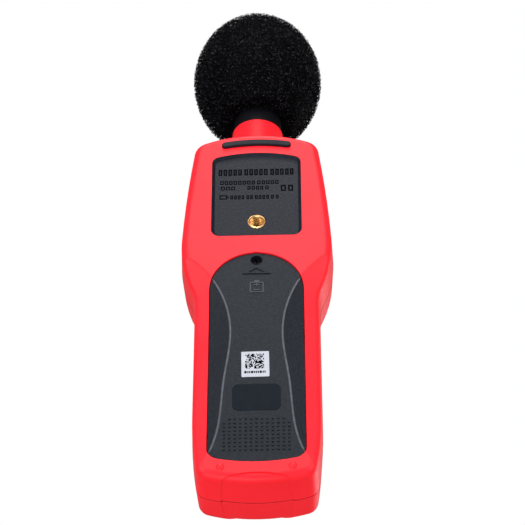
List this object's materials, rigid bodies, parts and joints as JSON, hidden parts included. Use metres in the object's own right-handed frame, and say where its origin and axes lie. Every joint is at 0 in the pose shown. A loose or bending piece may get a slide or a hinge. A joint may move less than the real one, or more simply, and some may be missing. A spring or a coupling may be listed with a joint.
{
  "type": "sound level meter",
  "caption": "Hand-held sound level meter: tapered two-shell case with a waisted handle, long battery door, tripod socket, keys and display, and a foam windscreen on its microphone.",
  "frame": {"origin": "middle of the mouth of the tripod socket in the back", "axes": "+Z along the case toward the microphone, +Y out of the back, the display faces -Y, X across"},
  "size_m": [0.0692, 0.063, 0.2859],
  "materials": {
    "case_red": "satin moulded plastic",
    "door_grey": "fine-textured moulded plastic",
    "plate_grey": "fine-textured moulded plastic",
    "rubber_dark": "matte rubber",
    "ring_black": "matte rubber",
    "foam_black": "open-cell foam",
    "brass": "turned",
    "steel_screw": "black-plated steel",
    "contact_metal": "nickel plated spring steel",
    "barrel_metal": "satin",
    "capsule_metal": "satin",
    "collar_black": "satin",
    "board_green": "solder mask over glass-fibre laminate",
    "lead_amber": "polyimide film",
    "lead_red": "insulation",
    "chip_black": "moulded package",
    "frame_black": "matte",
    "lcd_glass": "glass cell with rear polariser",
    "backlight_white": "light guide",
    "connector_grey": "layered silicone",
    "window_clear": "clear acrylic",
    "panel_dark": "textured film",
    "key_grey": "satin",
    "key_red": "satin",
    "cell_wrap": "printed film over steel can",
    "sticker_white": "paper label",
    "label_dark": "film label"
  },
  "bodies": {
    "case": {"battery_contacts": "contact_metal", "battery_leads": "lead_red", "board_components": "chip_black", "case_screws": "steel_screw", "cell_left_lower": "cell_wrap", "cell_left_upper": "cell_wrap", "cell_right_lower": "cell_wrap", "cell_right_upper": "cell_wrap", "display_window": "window_clear", "front_panel": "panel_dark", "front_shell": "case_red", "key_switches": "chip_black", "lcd_backlight": "backlight_white", "lcd_connector": "connector_grey", "lcd_frame": "frame_black", "lcd_glass": "lcd_glass", "main_board": "board_green", "mic_barrel": "barrel_metal", "mic_capsule": "capsule_metal", "mic_collar": "collar_black", "mic_grid": "barrel_metal", "mic_lead": "lead_amber", "mic_seal": "rubber_dark", "preamp_board": "board_green", "rating_plate": "plate_grey", "rear_shell": "case_red", "rest_bar": "rubber_dark", "spring_left": "contact_metal", "spring_right": "contact_metal", "tripod_insert": "brass"},
    "door": {"battery_door": "door_grey", "code_sticker": "sticker_white", "door_label": "label_dark"},
    "screw_ring": {"screw_ring": "ring_black"},
    "door_screw": {"door_screw": "steel_screw"},
    "windscreen": {"windscreen": "foam_black"},
    "key_hold": {"key_hold": "key_grey"},
    "key_backlight": {"key_backlight": "key_grey"},
    "key_maximum": {"key_maximum": "key_grey"},
    "key_weighting": {"key_weighting": "key_grey"},
    "key_response": {"key_response": "key_grey"},
    "key_range": {"key_range": "key_grey"},
    "key_power": {"key_power": "key_red"}
  },
  "joints": [
    {"name": "door_swing", "type": "hinge", "parent": "case", "child": "door", "pos_m": [0, 0.0007, -0.1338], "axis": [-1, 0, 0], "range_deg": [0, 60]},
    {"name": "screw_travel", "type": "slide", "parent": "door", "child": "screw_ring", "axis": [0, 1, 0], "range_m": [0, 0.0025]},
    {"name": "screw_turn", "type": "hinge", "parent": "screw_ring", "child": "door_screw", "pos_m": [0, -0.0039, -0.0238], "axis": [0, 1, 0], "range_deg": [0, 1800]},
    {"name": "windscreen_pull", "type": "slide", "parent": "case", "child": "windscreen", "axis": [0, 0, 1], "range_m": [0, 0.04]},
    {"name": "press_hold", "type": "slide", "parent": "case", "child": "key_hold", "axis": [0, 1, 0], "range_m": [0, 0.0008], "stiffness_N_per_m": 1200, "springref_m": -0.0004},
    {"name": "press_backlight", "type": "slide", "parent": "case", "child": "key_backlight", "axis": [0, 1, 0], "range_m": [0, 0.0008], "stiffness_N_per_m": 1200, "springref_m": -0.0004},
    {"name": "press_maximum", "type": "slide", "parent": "case", "child": "key_maximum", "axis": [0, 1, 0], "range_m": [0, 0.0008], "stiffness_N_per_m": 1200, "springref_m": -0.0004},
    {"name": "press_weighting", "type": "slide", "parent": "case", "child": "key_weighting", "axis": [0, 1, 0], "range_m": [0, 0.0008], "stiffness_N_per_m": 1200, "springref_m": -0.0004},
    {"name": "press_response", "type": "slide", "parent": "case", "child": "key_response", "axis": [0, 1, 0], "range_m": [0, 0.0008], "stiffness_N_per_m": 1200, "springref_m": -0.0004},
    {"name": "press_range", "type": "slide", "parent": "case", "child": "key_range", "axis": [0, 1, 0], "range_m": [0, 0.0008], "stiffness_N_per_m": 1200, "springref_m": -0.0004},
    {"name": "press_power", "type": "slide", "parent": "case", "child": "key_power", "axis": [0, 1, 0], "range_m": [0, 0.0008], "stiffness_N_per_m": 1200, "springref_m": -0.0004}
  ],
  "couplings": [
    {"joint": "screw_turn", "follows": "screw_travel", "rad_per_m": 12566}
  ]
}
